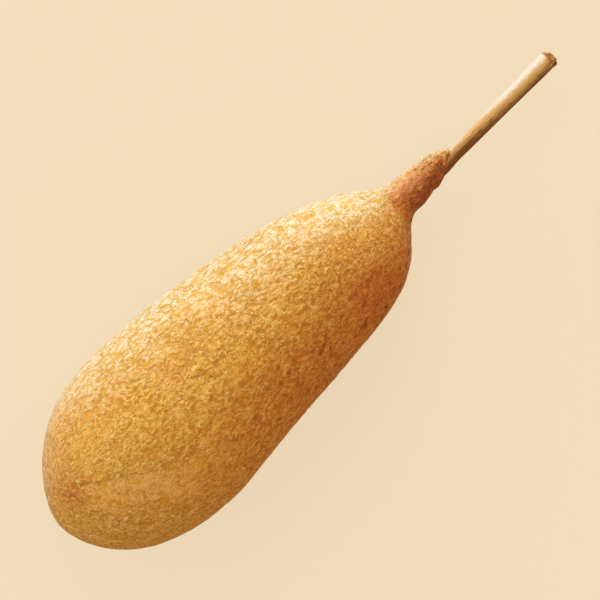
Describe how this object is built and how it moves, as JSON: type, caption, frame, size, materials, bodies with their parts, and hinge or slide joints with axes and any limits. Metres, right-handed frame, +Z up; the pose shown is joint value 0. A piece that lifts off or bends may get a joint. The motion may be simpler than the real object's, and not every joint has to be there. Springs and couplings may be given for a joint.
{
  "type": "corn dog",
  "caption": "Fried corn dog lying on its side: a puffed, tapering body of golden batter whose narrow neck climbs a bare bamboo skewer.",
  "frame": {"origin": "middle of the bounding box, on the table plane", "axes": "+X along the food from the blunt end to the skewer's butt, +Y to the side where the neck's batter is thicker, +Z up"},
  "size_m": [0.1704, 0.0506, 0.0505],
  "materials": {
    "fried_batter": "golden fried batter, finely crinkled, a little greasy, browner at the neck",
    "bamboo": "pale bamboo with lengthwise grain, brown at the cut end"
  },
  "bodies": {
    "root": {"batter": "fried_batter", "skewer": "bamboo"}
  },
  "joints": []
}
